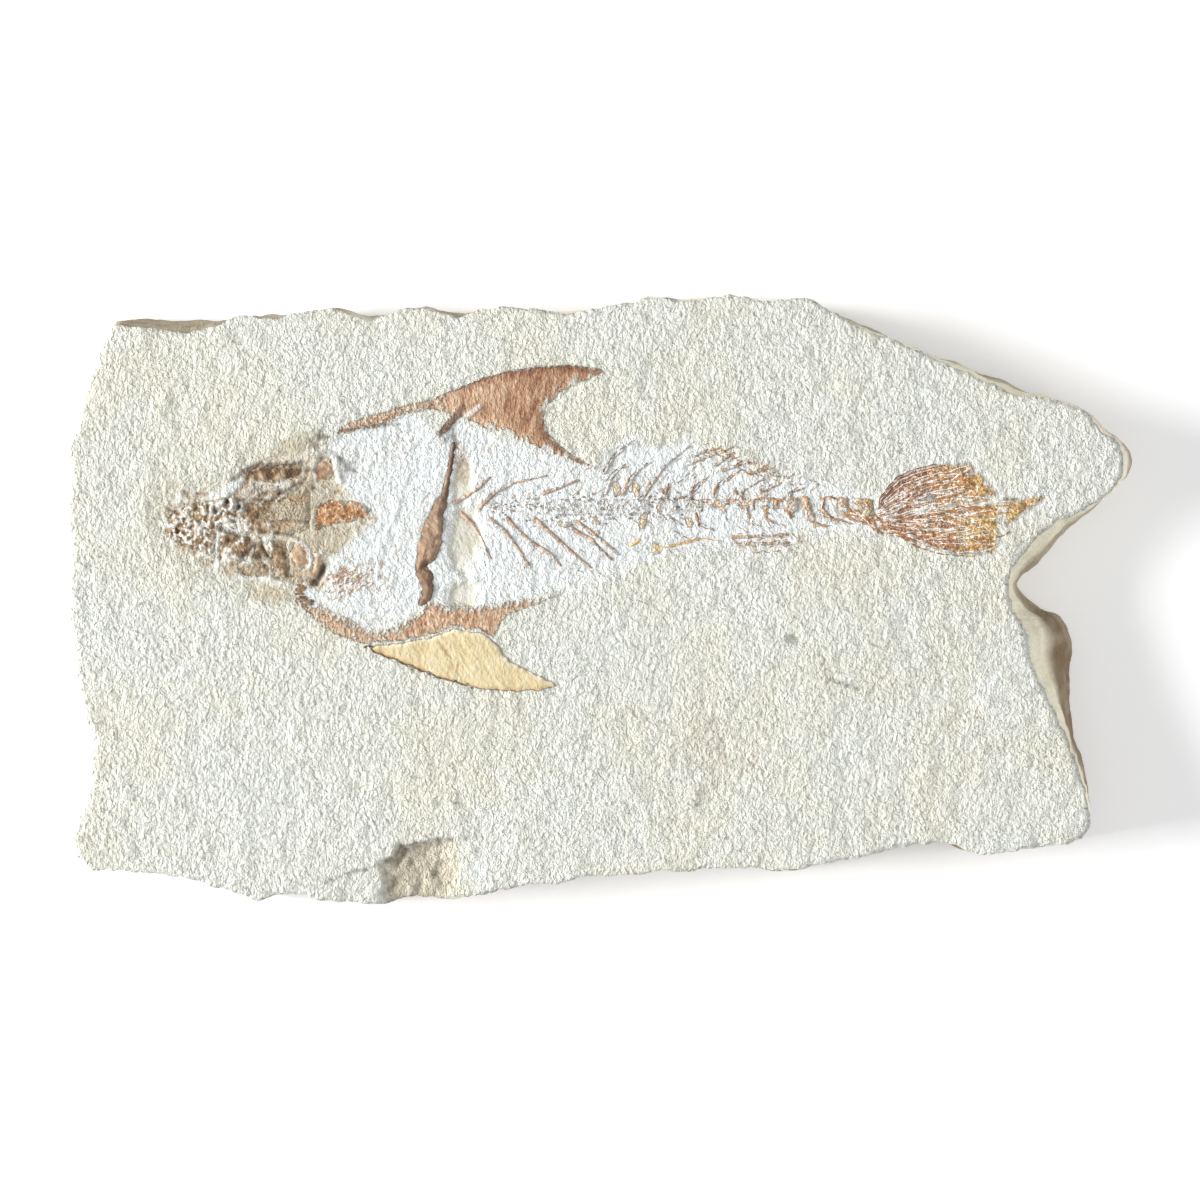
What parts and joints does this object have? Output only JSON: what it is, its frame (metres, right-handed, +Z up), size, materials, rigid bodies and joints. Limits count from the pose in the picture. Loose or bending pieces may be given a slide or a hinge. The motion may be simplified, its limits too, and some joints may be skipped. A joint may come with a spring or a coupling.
{
  "type": "fossil fish slab",
  "caption": "Flat broken limestone slab with a compressed fish skeleton set in its upper face, lying flat for display.",
  "frame": {"origin": "middle of the footprint, on the slab's flat underside", "axes": "+X from the snout to the tail, +Y across the slab towards the upper fin, +Z up out of the fossil face"},
  "size_m": [0.2406, 0.1372, 0.0212],
  "materials": {
    "limestone": "matt, needle scraped",
    "head_bone": "satin, mineralised bone",
    "fin_bone": "satin, mineralised bone",
    "pale_bone": "satin, mineralised bone",
    "thin_bone": "matt, mineralised bone",
    "rust_bone": "matt, iron stained bone"
  },
  "bodies": {
    "root": {"slab": "limestone", "snout": "head_bone", "skull_roof": "head_bone", "brow_plate": "head_bone", "cheek": "head_bone", "upper_jaw": "head_bone", "lower_jaw": "head_bone", "jaw_wedge": "head_bone", "jaw_hinge": "head_bone", "gill_cover": "rust_bone", "gill_rim": "head_bone", "nape_plate": "rust_bone", "temple_plate": "rust_bone", "shoulder_bar": "head_bone", "upper_fin": "fin_bone", "lower_fin": "fin_bone", "lower_fin_lobe": "pale_bone", "rib_below_1": "thin_bone", "rib_below_2": "thin_bone", "rib_below_3": "thin_bone", "rib_below_4": "thin_bone", "rib_below_5": "thin_bone", "rib_below_6": "thin_bone", "rib_above_1": "thin_bone", "rib_above_2": "thin_bone", "rib_above_3": "thin_bone", "backbone_front": "thin_bone", "front_spine_1": "thin_bone", "front_spine_2": "thin_bone", "front_spine_3": "thin_bone", "front_spine_4": "thin_bone", "vertebra_1": "thin_bone", "vertebra_2": "thin_bone", "vertebra_3": "thin_bone", "vertebra_4": "thin_bone", "vertebra_5": "thin_bone", "vertebra_6": "thin_bone", "vertebra_7": "thin_bone", "vertebra_8": "thin_bone", "vertebra_9": "thin_bone", "tail_stem": "rust_bone", "dorsal_ray_1": "rust_bone", "dorsal_ray_2": "rust_bone", "dorsal_ray_3": "rust_bone", "dorsal_ray_4": "rust_bone", "dorsal_ray_5": "rust_bone", "anal_ray_1": "rust_bone", "anal_ray_2": "rust_bone", "belly_bone_1": "pale_bone", "belly_bone_2": "pale_bone", "tail_upper_lobe": "rust_bone", "tail_lower_lobe": "rust_bone", "tail_tip_lobe": "rust_bone"}
  },
  "joints": []
}
